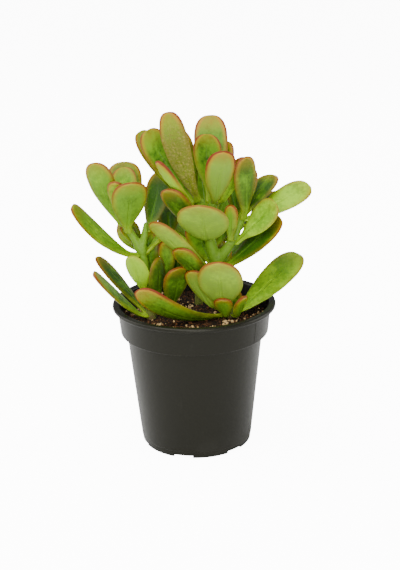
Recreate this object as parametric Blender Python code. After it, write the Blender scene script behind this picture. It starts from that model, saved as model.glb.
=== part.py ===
"""Potted jade plant: a round nursery pot, its potting mix, four branching stems and their leaves.

Metres, +Z up. The origin is the centre of the pot's base, on the surface it stands on.
"""
from collections import namedtuple
from math import cos, pi, radians, sin, sqrt

import bmesh
import bpy
from mathutils import Matrix, Vector, noise

MM = 0.001

# Fit
GAP = 0.3 * MM                  # clearance between pieces that touch

# Pot, from the base up
POT_HEIGHT = 101.7 * MM
BASE_RADIUS = 37.8 * MM
STEP_HEIGHT = 80.7 * MM         # where the body ends and the band begins
BODY_TOP_RADIUS = 46.8 * MM
BAND_LOW_RADIUS = 50.8 * MM
BAND_TOP_RADIUS = 52.6 * MM
LIP_RADIUS = 56.0 * MM
LIP_DEPTH = 3.4 * MM
LIP_BEVEL = 0.8 * MM
WALL = 1.3 * MM
FOOT_CHAMFER = 1.4 * MM
FLOOR_TOP = 4.0 * MM            # inner floor
RECESS_HEIGHT = 2.2 * MM        # channel under the floor
RECESS_INNER_RADIUS = 18.0 * MM
RECESS_OUTER_RADIUS = 33.5 * MM
POT_SEGMENTS = 48

# Drainage
HOLE_COUNT = 6
HOLE_RADIUS = 3.6 * MM
HOLE_CIRCLE = 26.0 * MM
HOLE_SEGMENTS = 12
NOTCH_COUNT = 6
NOTCH_WIDTH = 14.0 * MM
NOTCH_HEIGHT = 1.8 * MM
NOTCH_OVERRUN = 3.0 * MM        # the cutter runs this far past each face of the foot
NOTCH_FIRST_ANGLE = 255.0       # degrees; the one that shows at the front

# Potting mix
SOIL_LEVEL = 93.0 * MM
SOIL_RELIEF = 1.0 * MM
SOIL_NOISE_SCALE = 60.0         # per metre
SOIL_CROWN_FALL = 1.0 * MM      # the surface drops this much at the wall
SOIL_SEGMENTS = 36
SOIL_RINGS = 6
SOCKET_PLAY = 1.2 * MM          # room around each stem where it goes into the mix

# Stems
STEM_SEGMENTS = 10
STEM_STEPS = 3                  # rings between two nodes
ROOT_CAP = 0.4                  # rounding of a stem's lower end, as a share of its radius
SHOOT_CAP = 0.6                 # and of its upper ends

# Leaves
LEAF_SEGMENTS = 8
LEAF_RINGS = 9
NECK_WIDTH = 0.17               # width where it meets the stem, as a share of the leaf's width
WIDEST_AT = 0.68                # share of the length where the leaf is widest
SHOULDER = 1.25                 # how slowly the blade widens from the neck
TIP_FULLNESS = 2.6              # 2 is an oval tip, more is a blunter one
ROUND_WIDEST_AT = 0.54          # the same for a nearly round leaf
ROUND_SHOULDER = 0.75
ROUND_TIP_FULLNESS = 2.2
THICKNESS = 3.6 * MM
THIN_TIP = 0.75                 # thickness left next to the tip
UPPER_SHARE = 0.42              # share of the thickness above the margin
CUPPING = 0.06                  # margins rise by this share of the width
MIN_NECK = 2.3 * MM             # half-width of the narrowest neck
TIP_CLOSING = 8.0               # how late that least width gives way to the rounded tip
FULL_FROM = 0.5                 # share of the half-width from which a leaf has its full thickness
FIRST_RING = 0.55               # how far the end rings stand from the poles, in ring steps

# Nodes of the stems: x, y, z and stem radius, in millimetres
NODES = {
    "left_root": (-29, -8, 79, 3.5),
    "left_low": (-29.5, -8, 95, 3.4),
    "left_mid": (-30, -8, 113, 3.2),
    "left_fork": (-34.5, -8, 139, 3.0),
    "left_rosette": (-45, -6, 160, 2.3),
    "left_shoot": (-31, -6, 160, 1.6),
    "middle_root": (-18, 2, 79, 2.9),
    "middle_low": (-18, 1, 102, 2.7),
    "middle_mid": (-17, 2, 120, 2.4),
    "middle_top": (-16, 3, 144, 1.9),
    "front_root": (23, -8, 79, 4.6),
    "front_base": (23, -8, 95, 4.5),
    "front_low": (20, -8, 108, 4.4),
    "front_fork": (15.5, -8, 131, 4.3),
    "front_high": (11, -6, 149, 3.8),
    "crown_left": (5, -4, 174, 3.0),
    "crown_right": (14, -2, 172, 2.8),
    "right_mid": (27, -7, 147, 3.0),
    "right_rosette": (33, -3, 161, 2.5),
    "rear_root": (3, 20, 79, 3.2),
    "rear_low": (4, 22, 108, 3.0),
    "rear_mid": (8, 26, 134, 2.6),
    "rear_top": (11, 29, 158, 2.2),
}

# Each stem is a trunk and its branches, as runs of nodes
STEMS = {
    "left_stem": [
        ["left_root", "left_low", "left_mid", "left_fork", "left_rosette"],
        ["left_fork", "left_shoot"],
    ],
    "middle_stem": [
        ["middle_root", "middle_low", "middle_mid", "middle_top"],
    ],
    "front_stem": [
        ["front_root", "front_base", "front_low", "front_fork", "front_high", "crown_left"],
        ["front_high", "crown_right"],
        ["front_fork", "right_mid", "right_rosette"],
    ],
    "rear_stem": [
        ["rear_root", "rear_low", "rear_mid", "rear_top"],
    ],
}

# One leaf. lift: mm above its node. side: the side of the stem that it grows from.
# heading and pitch: where its tip points. length and width: mm. roll and curl: degrees.
Leaf = namedtuple("Leaf", "name node lift side heading pitch length width roll curl")

LEAVES = [
    # Left rosette
    Leaf("left_rosette_leaf_1", "left_rosette", 1, 188, 210, 69, 46, 21, 55, 6),
    Leaf("left_rosette_leaf_2", "left_rosette", -3, 90, 92, 54, 46, 24, 0, 0),
    Leaf("left_rosette_leaf_3", "left_rosette", 4, 70, 100, 64, 33, 18, 0, 0),
    Leaf("left_rosette_leaf_4", "left_rosette", 3, 252, 256, 66, 33, 14, 0, 0),
    Leaf("left_rosette_leaf_5", "left_rosette", -3, 285, 283, 60, 43, 24, 0, 8),
    # Left stem
    Leaf("left_leaf_1", "left_fork", -2, 200, 198, 42, 58, 22, -26, 26),
    Leaf("left_leaf_2", "left_fork", 2, 20, 15, 48, 20, 11, 0, 0),
    Leaf("left_leaf_3", "left_fork", 4, 140, 120, 34, 19, 12, 0, 0),
    Leaf("left_leaf_4", "left_shoot", -8, 60, 72, 48, 47, 20, 0, 0),
    Leaf("left_leaf_5", "left_mid", 3, 218, 234, 68, 27, 18, 20, 6),
    Leaf("left_leaf_6", "left_mid", -6, 325, 302, 83, 31, 14, 0, 4),
    Leaf("left_leaf_7", "left_low", 1, 139, 138, 34, 54, 18, 18, 8),
    Leaf("left_leaf_8", "left_low", -1, 210, 207, 46, 52, 18, -24, 10),
    # Middle stem
    Leaf("middle_leaf_1", "middle_low", -3, 299, 299, 68, 34, 20, 0, 6),
    Leaf("middle_leaf_2", "middle_mid", -4, 262, 268, 82, 32, 12, 0, 0),
    Leaf("middle_leaf_3", "middle_top", 0, 85, 93, 36, 31, 16, 0, 0),
    # Front stem
    Leaf("front_leaf_1", "front_base", 1.2, 224, 204.5, 21, 68, 20, 34, 56),
    Leaf("front_leaf_2", "front_base", 0, 0, 37, 29, 63, 26, 26, 10),
    Leaf("front_leaf_3", "front_low", -4, 265, 264, 54, 48, 30, 0, 8),
    Leaf("front_leaf_4", "front_low", -9, 200, 208, 60, 35, 18, 40, 6),
    Leaf("front_leaf_5", "front_base", 0, 262, 250, 58, 19, 13, 0, 4),
    Leaf("front_leaf_6", "front_base", -2, 318, 303, 62, 20, 13, 0, 4),
    Leaf("front_leaf_7", "front_base", 0, 80, 75, 32, 18, 14, 0, 0),
    Leaf("front_leaf_8", "front_fork", -2, 215, 202, 43, 54, 22, 18, 10),
    Leaf("front_leaf_9", "front_fork", -12, 208, 212, 50, 36, 19, 30, 8),
    Leaf("front_leaf_10", "front_fork", -3, 345, 358, 42, 51, 23, 32, 6),
    Leaf("front_leaf_11", "front_high", 0, 262, 260, 45, 46, 34, 0, 8),
    Leaf("front_leaf_12", "front_fork", -2, 125, 140, 60, 30, 21, 0, 0),
    # Crown
    Leaf("crown_leaf_1", "crown_left", 1, 262, 204, 71, 66, 18, 0, 16),
    Leaf("crown_leaf_2", "crown_left", 1, 115, 122, 62, 48, 17, 0, 0),
    Leaf("crown_leaf_3", "crown_left", 0, 165, 176, 58, 56, 22, -45, 4),
    Leaf("crown_leaf_4", "crown_left", -5, 140, 160, 52, 62, 25, 0, 4),
    Leaf("crown_leaf_5", "crown_left", -6, 252, 222, 50, 52, 14, -22, 12),
    Leaf("crown_leaf_6", "front_high", 3, 222, 209, 53, 44, 20, 20, 6),
    Leaf("crown_leaf_7", "crown_right", 0, 85, 92, 60, 60, 23, 0, 0),
    Leaf("crown_leaf_8", "crown_right", 5, 115, 96, 70, 40, 21, 0, 0),
    Leaf("crown_leaf_9", "crown_right", -5, 60, 74, 55, 48, 16, 0, 0),
    Leaf("crown_leaf_10", "crown_right", 0, 280, 288, 64, 45, 20, 0, 8),
    Leaf("crown_leaf_11", "crown_right", -2, 345, 342, 64, 38, 18, -30, 4),
    # Right branch
    Leaf("right_leaf_1", "right_rosette", 2, 300, 272, 79, 44, 17, 0, 0),
    Leaf("right_leaf_2", "right_rosette", 4, 60, 82, 45, 33, 16, 0, 0),
    Leaf("right_leaf_3", "right_mid", 1, 345, 352, 46, 35, 22, 45, 6),
    Leaf("right_leaf_4", "right_rosette", -2, 10, 24, 22, 50, 21, 30, 4),
    Leaf("right_leaf_5", "right_rosette", -6, 40, 50, 19, 43, 18, 10, 4),
    Leaf("right_leaf_6", "front_low", 2, 90, 90, 76, 33, 13, 0, 0),
    Leaf("right_leaf_7", "right_mid", -1, 250, 280, 82, 28, 10, 0, 0),
    Leaf("right_leaf_8", "right_rosette", 1, 62, 52, 33, 38, 22, -15, 0),
    # Rear stem
    Leaf("rear_leaf_1", "rear_low", 0, 120, 120, 32, 52, 26, 0, 8),
    Leaf("rear_leaf_2", "rear_low", 2, 20, 15, 38, 46, 24, 0, 8),
    Leaf("rear_leaf_3", "rear_mid", 0, 165, 160, 40, 48, 24, 0, 6),
    Leaf("rear_leaf_4", "rear_mid", 2, 60, 60, 42, 46, 24, 0, 6),
    Leaf("rear_leaf_5", "rear_top", 0, 105, 100, 55, 46, 24, 0, 6),
    Leaf("rear_leaf_6", "rear_top", 1, 178, 172, 63, 34, 18, 0, 6),
    Leaf("rear_leaf_7", "rear_mid", -3, 350, 358, 38, 46, 22, 0, 4),
]
ROUND_LEAVES = {
    "front_leaf_3",
    "front_leaf_7",
    "front_leaf_11",
    "left_leaf_5",
    "left_leaf_6",
}


def clear_scene():
    for item in list(bpy.data.objects):
        bpy.data.objects.remove(item, do_unlink=True)


def material(name, colour, roughness, metallic=0.0):
    result = bpy.data.materials.new(name)
    result.use_nodes = True
    shader = result.node_tree.nodes["Principled BSDF"]
    shader.inputs["Base Color"].default_value = (*colour, 1.0)
    shader.inputs["Roughness"].default_value = roughness
    shader.inputs["Metallic"].default_value = metallic
    result.diffuse_color = (*colour, 1.0)
    return result


def add_object(name, mesh_data, surface, smooth=True):
    """Turn a bmesh into a named object with its material."""
    bmesh.ops.recalc_face_normals(mesh_data, faces=mesh_data.faces)
    for face in mesh_data.faces:
        face.smooth = smooth
    mesh = bpy.data.meshes.new(name)
    mesh_data.to_mesh(mesh)
    mesh_data.free()
    mesh.materials.append(surface)
    result = bpy.data.objects.new(name, mesh)
    bpy.context.scene.collection.objects.link(result)
    return result


def add_cutter(name, mesh_data):
    """A helper object for a Boolean modifier; it never renders."""
    result = add_object(name, mesh_data, material(name + "_mat", (0.8, 0.1, 0.1), 0.5), False)
    result.hide_render = True
    result.display_type = "WIRE"
    return result


def boolean(target, tool, operation):
    """Apply a Boolean at once and remove the tool object."""
    modifier = target.modifiers.new(operation.lower(), "BOOLEAN")
    modifier.operation = operation
    modifier.solver = "EXACT"
    modifier.object = tool
    graph = bpy.context.evaluated_depsgraph_get()
    mesh = bpy.data.meshes.new_from_object(target.evaluated_get(graph))
    target.modifiers.remove(modifier)
    target.data = mesh
    bpy.data.objects.remove(tool, do_unlink=True)


def lathe(profile, segments):
    """Revolve (radius, height) points about Z. A point on the axis closes the surface."""
    result = bmesh.new()
    points = [result.verts.new((radius, 0, height)) for radius, height in profile]
    edges = [result.edges.new(pair) for pair in zip(points, points[1:])]
    bmesh.ops.spin(
        result,
        geom=points + edges,
        cent=(0, 0, 0),
        axis=(0, 0, 1),
        angle=2 * pi,
        steps=segments,
        use_merge=True,
    )
    bmesh.ops.remove_doubles(result, verts=result.verts, dist=1e-6)
    return result


def wall_radius(height):
    """Outer radius of the pot's body at a height, and of its band above the step."""
    if height <= STEP_HEIGHT:
        return BASE_RADIUS + (BODY_TOP_RADIUS - BASE_RADIUS) * height / STEP_HEIGHT
    share = (height - STEP_HEIGHT) / (POT_HEIGHT - STEP_HEIGHT)
    return BAND_LOW_RADIUS + (BAND_TOP_RADIUS - BAND_LOW_RADIUS) * share


def pot_profile():
    inner_top = BAND_TOP_RADIUS - WALL
    step_inside = STEP_HEIGHT + WALL
    return [
        (0, 0),
        (RECESS_INNER_RADIUS, 0),
        (RECESS_INNER_RADIUS + RECESS_HEIGHT / 2, RECESS_HEIGHT),
        (RECESS_OUTER_RADIUS - RECESS_HEIGHT / 2, RECESS_HEIGHT),
        (RECESS_OUTER_RADIUS, 0),
        (BASE_RADIUS - FOOT_CHAMFER, 0),
        (BASE_RADIUS, FOOT_CHAMFER),
        (BODY_TOP_RADIUS, STEP_HEIGHT),
        (BAND_LOW_RADIUS, STEP_HEIGHT),
        (BAND_TOP_RADIUS, POT_HEIGHT - LIP_DEPTH),
        (LIP_RADIUS - LIP_BEVEL, POT_HEIGHT - LIP_DEPTH),
        (LIP_RADIUS, POT_HEIGHT - LIP_DEPTH + LIP_BEVEL),
        (LIP_RADIUS, POT_HEIGHT - LIP_BEVEL),
        (LIP_RADIUS - LIP_BEVEL, POT_HEIGHT),
        (inner_top + LIP_BEVEL / 2, POT_HEIGHT),
        (inner_top, POT_HEIGHT - LIP_BEVEL),
        (BAND_LOW_RADIUS - WALL, step_inside),
        (BODY_TOP_RADIUS - WALL, step_inside),
        (BASE_RADIUS - WALL, FLOOR_TOP),
        (0, FLOOR_TOP),
    ]


def build_pot():
    surface = material("charcoal_plastic", (0.018, 0.019, 0.018), 0.42)
    pot = add_object("grower_pot", lathe(pot_profile(), POT_SEGMENTS), surface)
    holes = bmesh.new()
    for index in range(HOLE_COUNT):
        angle = 2 * pi * (index + 0.5) / HOLE_COUNT
        place = Matrix.Translation((HOLE_CIRCLE * cos(angle), HOLE_CIRCLE * sin(angle), FLOOR_TOP))
        bmesh.ops.create_cone(
            holes,
            cap_ends=True,
            segments=HOLE_SEGMENTS,
            radius1=HOLE_RADIUS,
            radius2=HOLE_RADIUS,
            depth=4 * FLOOR_TOP,
            matrix=place,
        )
    boolean(pot, add_cutter("drain_holes", holes), "DIFFERENCE")
    notches = bmesh.new()
    length = BASE_RADIUS - RECESS_OUTER_RADIUS + 2 * NOTCH_OVERRUN
    for index in range(NOTCH_COUNT):
        turn = Matrix.Rotation(radians(NOTCH_FIRST_ANGLE) + 2 * pi * index / NOTCH_COUNT, 4, "Z")
        slide = Matrix.Translation(((BASE_RADIUS + RECESS_OUTER_RADIUS) / 2, 0, 0))
        size = Matrix.Diagonal((length, NOTCH_WIDTH, 2 * NOTCH_HEIGHT, 1))
        bmesh.ops.create_cube(notches, size=1.0, matrix=turn @ slide @ size)
    boolean(pot, add_cutter("foot_notches", notches), "DIFFERENCE")
    return pot


def soil_height(x, y):
    """Height of the potting mix: a slight dome with a gentle relief."""
    inner = wall_radius(SOIL_LEVEL) - WALL
    fall = SOIL_CROWN_FALL * (x * x + y * y) / inner ** 2
    relief = noise.noise(Vector((x, y, 0.02)) * SOIL_NOISE_SCALE)
    return SOIL_LEVEL + SOIL_RELIEF * relief - fall


def build_soil():
    step_inside = STEP_HEIGHT + WALL
    edge = WALL + GAP
    top_radius = wall_radius(SOIL_LEVEL) - edge
    profile = [
        (0, FLOOR_TOP + GAP),
        (BASE_RADIUS - edge, FLOOR_TOP + GAP),
        (BODY_TOP_RADIUS - edge, step_inside + GAP),
        (BAND_LOW_RADIUS - edge, step_inside + GAP),
    ]
    profile += [
        (top_radius * (1 - ring / SOIL_RINGS), SOIL_LEVEL)
        for ring in range(SOIL_RINGS + 1)
    ]
    solid = lathe(profile, SOIL_SEGMENTS)
    for vert in solid.verts:
        if vert.co.z > SOIL_LEVEL - GAP:
            vert.co.z = soil_height(vert.co.x, vert.co.y)
    bmesh.ops.triangulate(solid, faces=solid.faces)
    soil = add_object("potting_mix", solid, material("dark_peat", (0.035, 0.022, 0.014), 0.95))
    sockets = bmesh.new()
    for runs in STEMS.values():
        foot, radius = node_place(runs[0][0])
        depth = 2 * (SOIL_LEVEL + SOIL_RELIEF - foot.z + radius)
        bmesh.ops.create_cone(
            sockets,
            cap_ends=True,
            segments=STEM_SEGMENTS,
            radius1=radius + SOCKET_PLAY,
            radius2=radius + SOCKET_PLAY,
            depth=depth,
            matrix=Matrix.Translation(foot + Vector((0, 0, depth / 2 - radius * ROOT_CAP - GAP))),
        )
    boolean(soil, add_cutter("stem_sockets", sockets), "DIFFERENCE")
    return soil


def node_place(name):
    x, y, z, radius = NODES[name]
    return Vector((x, y, z)) * MM, radius * MM


def stem_path(run):
    """Centres and radii of the rings along a run of nodes, on a smooth curve."""
    places = [node_place(name) for name in run]
    centres = []
    radii = []
    for index in range(len(places) - 1):
        before = places[max(index - 1, 0)][0]
        start, start_radius = places[index]
        end, end_radius = places[index + 1]
        after = places[min(index + 2, len(places) - 1)][0]
        for step in range(STEM_STEPS):
            t = step / STEM_STEPS
            centres.append(catmull_rom(before, start, end, after, t))
            radii.append(start_radius + (end_radius - start_radius) * t)
    centres.append(places[-1][0])
    radii.append(places[-1][1])
    return centres, radii


def catmull_rom(before, start, end, after, t):
    pull = (end - before) * 0.5
    push = (after - start) * 0.5
    return (
        start * (2 * t ** 3 - 3 * t ** 2 + 1)
        + pull * (t ** 3 - 2 * t ** 2 + t)
        + end * (3 * t ** 2 - 2 * t ** 3)
        + push * (t ** 3 - t ** 2)
    )


def skin_rings(result, rings, start_pole, end_pole):
    """Join rings of points into one closed skin with a pole at each end."""
    loops = [[result.verts.new(point) for point in ring] for ring in rings]
    count = len(loops[0])
    for lower, upper in zip(loops, loops[1:]):
        for index in range(count):
            following = (index + 1) % count
            result.faces.new((lower[index], lower[following], upper[following], upper[index]))
    for loop, pole in ((loops[0], start_pole), (loops[-1], end_pole)):
        centre = result.verts.new(pole)
        for index in range(count):
            result.faces.new((loop[index], centre, loop[(index + 1) % count]))


def tube(centres, radii):
    """A closed tube with rounded ends."""
    rings = []
    side = Vector((1, 0, 0))
    for index, (centre, radius) in enumerate(zip(centres, radii)):
        along = centres[min(index + 1, len(centres) - 1)] - centres[max(index - 1, 0)]
        along.normalize()
        side = (side - along * side.dot(along)).normalized()
        across = along.cross(side)
        rings.append([
            centre + (side * cos(angle) + across * sin(angle)) * radius
            for angle in (2 * pi * turn / STEM_SEGMENTS for turn in range(STEM_SEGMENTS))
        ])
    start = centres[0] - (centres[1] - centres[0]).normalized() * radii[0] * ROOT_CAP
    end = centres[-1] + (centres[-1] - centres[-2]).normalized() * radii[-1] * SHOOT_CAP
    result = bmesh.new()
    skin_rings(result, rings, start, end)
    return result


def build_stem(name, runs, surface):
    stem = add_object(name, tube(*stem_path(runs[0])), surface)
    for index, run in enumerate(runs[1:]):
        branch = add_cutter(f"{name}_branch_{index}", tube(*stem_path(run)))
        boolean(stem, branch, "UNION")
    stem.data.materials.clear()
    stem.data.materials.append(surface)
    return stem


def heading_vector(degrees):
    return Vector((cos(radians(degrees)), sin(radians(degrees)), 0))


def blade_width(t, is_round):
    """Half-width of a leaf at a share t of its length, as a share of its widest half-width."""
    widest_at = ROUND_WIDEST_AT if is_round else WIDEST_AT
    if t < widest_at:
        shoulder = ROUND_SHOULDER if is_round else SHOULDER
        return NECK_WIDTH + (1 - NECK_WIDTH) * sin(pi / 2 * t / widest_at) ** shoulder
    past = (t - widest_at) / (1 - widest_at)
    fullness = ROUND_TIP_FULLNESS if is_round else TIP_FULLNESS
    return max(0.0, 1 - past ** fullness) ** (1 / fullness)


def leaf_rings(leaf):
    """Rings of points along a leaf, and its two poles."""
    node, radius = node_place(leaf.node)
    outward = heading_vector(leaf.side)
    heading = heading_vector(leaf.heading)
    base = node + Vector((0, 0, leaf.lift * MM)) + outward * (radius + GAP + THICKNESS / 2)
    length = leaf.length * MM
    half = leaf.width * MM / 2
    pitch = radians(leaf.pitch)
    upper = Vector((0, 0, cos(pitch))) - outward * sin(pitch)
    shares = [0.5 * (1 - cos(pi * (ring + FIRST_RING) / LEAF_RINGS)) for ring in range(LEAF_RINGS)]
    rings = []
    place = base.copy()
    before = 0.0
    for share in shares:
        angle = pitch + radians(leaf.curl) * (share - 0.5)
        along = heading * cos(angle) + Vector((0, 0, sin(angle)))
        normal = (upper - along * upper.dot(along)).normalized()
        normal = Matrix.Rotation(radians(leaf.roll), 3, along) @ normal
        across = normal.cross(along)
        place = place + along * (share - before) * length
        before = share
        least = MIN_NECK * min(1.0, (1 - share) * TIP_CLOSING)
        width = max(half * blade_width(share, leaf.name in ROUND_LEAVES), least)
        fullness = 1 - (1 - THIN_TIP) * share
        thick = THICKNESS * fullness * min(1.0, sqrt(width / (half * FULL_FROM)))
        ring = []
        for turn in range(LEAF_SEGMENTS):
            angle = 2 * pi * turn / LEAF_SEGMENTS
            height = sin(angle) * thick * (UPPER_SHARE if sin(angle) > 0 else 1 - UPPER_SHARE)
            rise = CUPPING * width * cos(angle) ** 2
            ring.append(place + across * width * cos(angle) + normal * (height + rise))
        rings.append(ring)
    tip = place + along * (1 - before) * length
    return rings, base, tip


def build_leaf(leaf, surface):
    rings, base, tip = leaf_rings(leaf)
    result = bmesh.new()
    skin_rings(result, rings, base, tip)
    return add_object(leaf.name, result, surface)


def main():
    clear_scene()
    build_pot()
    build_soil()
    bark = material("green_brown_stem", (0.16, 0.20, 0.06), 0.6)
    for name, runs in STEMS.items():
        build_stem(name, runs, bark)
    green = material("jade_leaf", (0.16, 0.34, 0.05), 0.35)
    for leaf in LEAVES:
        build_leaf(leaf, green)


main()
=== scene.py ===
from math import acos, atan2, cos, exp, pi, radians, sin, sqrt
from random import Random

import bmesh
import bpy
import numpy as np
from bpy.props import FloatProperty, FloatVectorProperty, IntProperty, PointerProperty
from mathutils import Euler, Matrix, Vector, noise


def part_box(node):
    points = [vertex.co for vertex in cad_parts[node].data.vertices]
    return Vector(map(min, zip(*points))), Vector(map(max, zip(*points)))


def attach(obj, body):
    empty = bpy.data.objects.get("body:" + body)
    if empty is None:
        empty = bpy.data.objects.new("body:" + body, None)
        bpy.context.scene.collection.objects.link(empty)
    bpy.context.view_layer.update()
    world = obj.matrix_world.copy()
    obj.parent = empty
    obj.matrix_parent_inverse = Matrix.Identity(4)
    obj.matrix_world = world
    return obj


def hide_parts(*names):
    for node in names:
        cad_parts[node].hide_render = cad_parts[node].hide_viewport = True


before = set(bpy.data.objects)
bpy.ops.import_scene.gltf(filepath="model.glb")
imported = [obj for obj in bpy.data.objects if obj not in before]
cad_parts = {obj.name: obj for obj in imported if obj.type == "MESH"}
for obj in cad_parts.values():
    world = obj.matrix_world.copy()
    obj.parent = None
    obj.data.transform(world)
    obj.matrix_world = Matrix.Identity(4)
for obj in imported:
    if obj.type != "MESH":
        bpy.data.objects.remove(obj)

bl_info = {
    "name": "Potted Jade Plant",
    "version": (1, 0, 0),
    "blender": (4, 5, 0),
    "location": "View3D > Sidebar > Jade Plant",
    "description": "Grows a jade plant in its nursery pot on the frame's nodes",
    "category": "Add Mesh",
}

MM = 0.001

STEM_NODES = [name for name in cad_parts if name.endswith("_stem")]
LEAF_NODES = [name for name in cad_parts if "_leaf_" in name]
POT_LOW, POT_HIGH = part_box("grower_pot")
MIX_LOW, MIX_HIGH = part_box("potting_mix")

# The pot's underside
POT_FLOOR_TOP = 4.0 * MM
DISC_RADIUS = 18.0 * MM
RECESS_HEIGHT = 2.2 * MM
FOOT_INNER_RADIUS = 33.5 * MM
RECESS_DRAFT = 1.1 * MM
HOLE_COUNT = 6
HOLE_RADIUS = 3.6 * MM
HOLE_CIRCLE = 26.0 * MM
NOTCH_COUNT = 6
NOTCH_SIZE = (10.0 * MM, 14.0 * MM, 4.6 * MM)  # half of the height lies below the ground

# Turns about Z, in degrees: the first drain hole, the first notch of the foot and the mould seam
HOLE_START = 30.0
NOTCH_START = 255.0
SEAM_ANGLE = 322.0

# How grown each leaf of a branch is and how much sun it has had, in the order of their numbers,
# together with painted shade that darkens the leaves sitting in shade among the others:
# 0 is young and bright, 1 is the darkest green, for old age and painted shade alike.
LEAF_AGE_AND_SHADE = {
    "left_rosette_leaf": (0.65, 0.75, 0.55, 0.2, 0.62),
    "left_leaf": (0.5, 0.55, 0.8, 0.95, 0.1, 0.9, 0.8, 0.55),
    "middle_leaf": (0.75, 0.85, 1.0),
    "front_leaf": (0.6, 0.2, 0.4, 0.5, 0.75, 0.45, 0.75, 0.3, 0.9, 1.0, 0.5, 0.75),
    "crown_leaf": (0.45, 0.9, 0.6, 0.45, 0.1, 0.8, 0.75, 0.7, 0.5, 0.5, 0.2),
    "right_leaf": (0.9, 0.95, 0.25, 0.25, 0.85, 0.7, 0.5, 0.9),
    "rear_leaf": (0.5, 0.5, 0.5, 0.5, 0.5, 0.5, 0.5),
    "sprout_leaf": (0.8, 0.85, 0.9, 0.85, 0.8),
}

# How much broader a leaf is than the rings of its node
LEAF_BREADTH = {
    "left_leaf_6": 1.3,
    "front_leaf_1": 1.1,
}

# How strongly the sun has coloured each leaf's margin and tip; more than 1 spreads the colour.
# A leaf that isn't listed has USUAL_BLUSH.
USUAL_BLUSH = 0.85
LEAF_BLUSH = {
    "crown_leaf_1": 1.2,
    "crown_leaf_5": 1.2,
    "crown_leaf_7": 1.6,
    "crown_leaf_8": 1.1,
    "crown_leaf_9": 1.2,
    "crown_leaf_10": 1.4,
    "front_leaf_1": 1.3,
    "front_leaf_8": 0.8,
    "front_leaf_11": 0.7,
    "left_leaf_1": 0.8,
    "right_leaf_4": 0.6,
    "front_leaf_2": 0.5,
    "left_leaf_5": 0.25,
    "left_leaf_6": 0.4,
    "right_leaf_3": 0.5,
}

# Leaves whose undersides have kept their waxy bloom
WAXY_LEAVES = {
    "front_leaf_2", "front_leaf_3", "front_leaf_4", "front_leaf_8", "front_leaf_11",
    "crown_leaf_10", "left_leaf_1", "right_leaf_3",
}

# Small leaves near the stems that have no node: base and tip in millimetres, width in
# millimetres, and the turn of the blade about its length in degrees
SPROUTS = {
    "sprout_leaf_1": ((-36, 4, 136), (-49, 19, 156), 16, 10),
    "sprout_leaf_2": ((-29, -1, 121), (-28, 4, 153), 13, -15),
    "sprout_leaf_3": ((-15, 6, 110), (-8, 15, 141), 14, 20),
    "sprout_leaf_4": ((32, 1, 158), (28, 12, 182), 11, -20),
    "sprout_leaf_5": ((15, -1, 140), (25, 5, 165), 13, 25),
}

# The leaf with an old corky patch on its underside
SCARRED_LEAF = "crown_leaf_1"

# The share of a leaf's length that is drawn into the stem
ROOTED_SHARE = 0.13

# What every point of a leaf stores for the leaf's material; age holds the leaf's age together with
# its painted shade
LEAF_LAYERS = ("along", "mid", "rim", "upper", "age", "blush", "scar", "tint", "waxy")


# Properties


class JadePotSettings(bpy.types.PropertyGroup):
    """Sizes and colour of the nursery pot."""

    base_radius: FloatProperty(
        name="Base Radius", description="Radius of the foot", default=37.8 * MM, unit="LENGTH")
    step_height: FloatProperty(
        name="Step Height", description="Height of the band's lower edge",
        default=80.7 * MM, unit="LENGTH")
    body_radius: FloatProperty(
        name="Body Radius", description="Radius just under the band",
        default=46.8 * MM, unit="LENGTH")
    band_low_radius: FloatProperty(
        name="Band Low Radius", description="Radius of the band's lower edge",
        default=50.8 * MM, unit="LENGTH")
    band_top_radius: FloatProperty(
        name="Band Top Radius", description="Radius of the band under the lip",
        default=52.6 * MM, unit="LENGTH")
    lip_depth: FloatProperty(
        name="Lip Depth", description="Height of the rolled lip", default=3.4 * MM, unit="LENGTH")
    wall: FloatProperty(
        name="Wall", description="Thickness of the plastic", default=1.3 * MM, unit="LENGTH")
    corner: FloatProperty(
        name="Corner", description="Radius of the moulded corners", default=0.5 * MM, unit="LENGTH")
    segments: IntProperty(
        name="Segments", description="Facets round the pot", default=160)
    plastic: FloatVectorProperty(
        name="Plastic", description="Colour of the plastic", default=(0.0052, 0.0050, 0.0034),
        subtype="COLOR")
    roughness: FloatProperty(
        name="Roughness", description="Sheen of the moulded surface",
        default=0.30, subtype="FACTOR")


class JadeMixSettings(bpy.types.PropertyGroup):
    """The potting mix and the grains on it."""

    level: FloatProperty(
        name="Level", description="How far the mix lies below the lip",
        default=8.9 * MM, unit="LENGTH")
    relief: FloatProperty(
        name="Relief", description="Height of the mix's lumps", default=0.8 * MM, unit="LENGTH")
    peat: FloatVectorProperty(
        name="Peat", description="Colour of damp peat",
        default=(0.008, 0.0046, 0.0024), subtype="COLOR")
    bark: FloatVectorProperty(
        name="Bark", description="Colour of dry bark",
        default=(0.17, 0.066, 0.020), subtype="COLOR")
    perlite: FloatVectorProperty(
        name="Perlite", description="Colour of a perlite grain",
        default=(0.52, 0.35, 0.155), subtype="COLOR")
    bark_count: IntProperty(
        name="Bark Chips", description="Number of loose chips", default=1500)
    perlite_count: IntProperty(
        name="Perlite Grains", description="Number of loose grains", default=300)
    seed: IntProperty(
        name="Seed", description="Where the grains fall", default=11)


class JadeStemSettings(bpy.types.PropertyGroup):
    """Sizes and colours of the stems."""

    skin: FloatProperty(
        name="Skin", description="Fineness of the stem's skin", default=0.65 * MM, unit="LENGTH")
    collar: FloatProperty(
        name="Collar", description="Swelling where a leaf joins", default=0.55 * MM, unit="LENGTH")
    green: FloatVectorProperty(
        name="Green", description="Colour of a young stem",
        default=(0.105, 0.205, 0.010), subtype="COLOR")
    cork: FloatVectorProperty(
        name="Cork", description="Colour of an old stem",
        default=(0.085, 0.065, 0.022), subtype="COLOR")


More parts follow.
